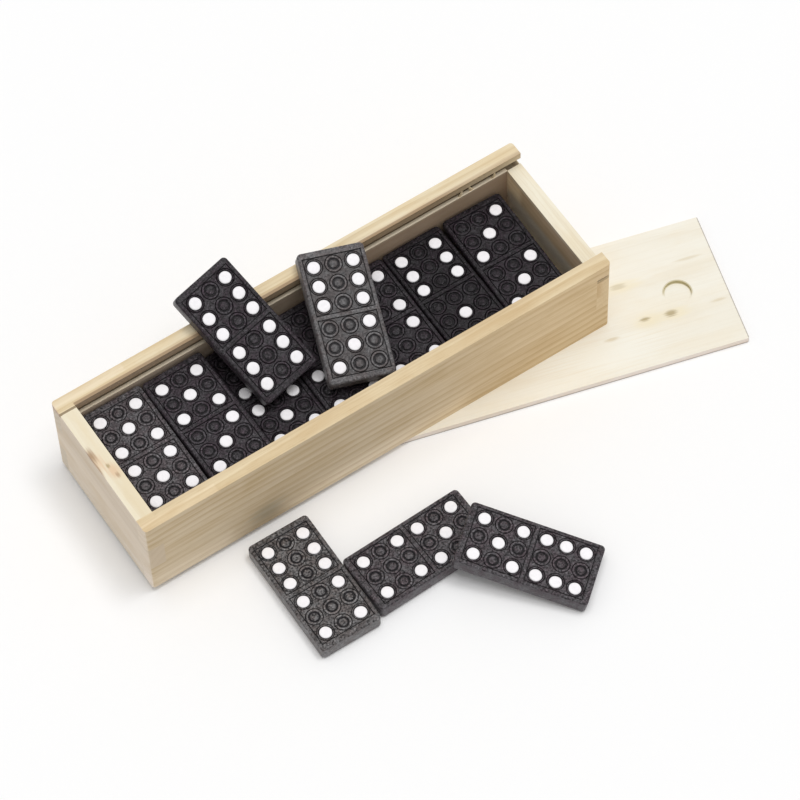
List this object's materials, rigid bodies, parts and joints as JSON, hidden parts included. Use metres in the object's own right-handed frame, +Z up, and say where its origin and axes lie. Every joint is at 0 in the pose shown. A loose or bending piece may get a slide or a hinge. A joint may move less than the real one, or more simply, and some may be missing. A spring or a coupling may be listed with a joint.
{
  "type": "domino storage box",
  "caption": "Long open wooden box with a loose sliding lid under it and black domino tiles stacked inside, leaning on its rim and lying in front.",
  "frame": {"origin": "on the table under the middle of the box, at the underside of the lid that lies under it", "axes": "+X along the box to its open end, +Y to the rear, +Z up"},
  "size_m": [0.1908, 0.1281, 0.0438],
  "materials": {
    "box_wood": "plain planed pine, unvarnished",
    "lid_wood": "plain thin pine board, unvarnished",
    "black_plastic": "moulded black, low gloss",
    "white_paint": "white paint in the pips"
  },
  "bodies": {
    "box": {"front_wall": "box_wood", "rear_wall": "box_wood", "closed_end": "box_wood", "open_end": "box_wood", "bottom_board": "box_wood", "tile_0_0": "black_plastic", "tile_1_2": "black_plastic", "tile_3_4": "black_plastic", "tile_0_1": "black_plastic", "tile_1_3": "black_plastic", "tile_2_6": "black_plastic", "tile_0_2": "black_plastic", "tile_1_4": "black_plastic", "tile_2_5": "black_plastic", "tile_0_3": "black_plastic", "tile_1_5": "black_plastic", "tile_0_4": "black_plastic", "tile_0_5": "black_plastic", "tile_2_2": "black_plastic", "tile_4_4": "black_plastic", "tile_0_6": "black_plastic", "tile_2_3": "black_plastic", "tile_1_1": "black_plastic", "tile_2_4": "black_plastic", "pips_layer_1": "white_paint", "pips_layer_2": "white_paint", "pips_layer_3": "white_paint"},
    "lid": {"sliding_lid": "lid_wood"},
    "top_5_5": {"tile_5_5": "black_plastic", "pips_5_5": "white_paint"},
    "top_5_3": {"tile_5_3": "black_plastic", "pips_5_3": "white_paint"},
    "top_6_1": {"tile_6_1": "black_plastic", "pips_6_1": "white_paint"},
    "top_3_3": {"tile_3_3": "black_plastic", "pips_3_3": "white_paint"},
    "left_loose": {"tile_6_4": "black_plastic", "pips_6_4": "white_paint"},
    "middle_loose": {"tile_5_4": "black_plastic", "pips_5_4": "white_paint"},
    "right_loose": {"tile_6_5": "black_plastic", "pips_6_5": "white_paint"},
    "left_leaning": {"tile_6_6": "black_plastic", "pips_6_6": "white_paint"},
    "right_leaning": {"tile_6_3": "black_plastic", "pips_6_3": "white_paint"}
  },
  "joints": [
    {"name": "lid_slide", "type": "slide", "parent": "box", "child": "lid", "axis": [0.9646, -0.2639, 0], "range_m": [-0.1, 0.025]},
    {"name": "lift_5_5", "type": "slide", "parent": "box", "child": "top_5_5", "axis": [0, 0, 1], "range_m": [0, 0.04]},
    {"name": "lift_5_3", "type": "slide", "parent": "box", "child": "top_5_3", "axis": [0, 0, 1], "range_m": [0, 0.04]},
    {"name": "lift_6_1", "type": "slide", "parent": "box", "child": "top_6_1", "axis": [0, 0, 1], "range_m": [0, 0.04]},
    {"name": "lift_3_3", "type": "slide", "parent": "box", "child": "top_3_3", "axis": [0, 0, 1], "range_m": [0, 0.04]},
    {"name": "lift_left_loose", "type": "slide", "parent": "box", "child": "left_loose", "axis": [0, 0, 1], "range_m": [0, 0.04]},
    {"name": "lift_middle_loose", "type": "slide", "parent": "box", "child": "middle_loose", "axis": [0, 0, 1], "range_m": [0, 0.04]},
    {"name": "lift_right_loose", "type": "slide", "parent": "middle_loose", "child": "right_loose", "axis": [0, 0, 1], "range_m": [0, 0.04]},
    {"name": "lift_left_leaning", "type": "slide", "parent": "box", "child": "left_leaning", "axis": [0, 0, 1], "range_m": [0, 0.04]},
    {"name": "lift_right_leaning", "type": "slide", "parent": "box", "child": "right_leaning", "axis": [0, 0, 1], "range_m": [0, 0.04]}
  ]
}
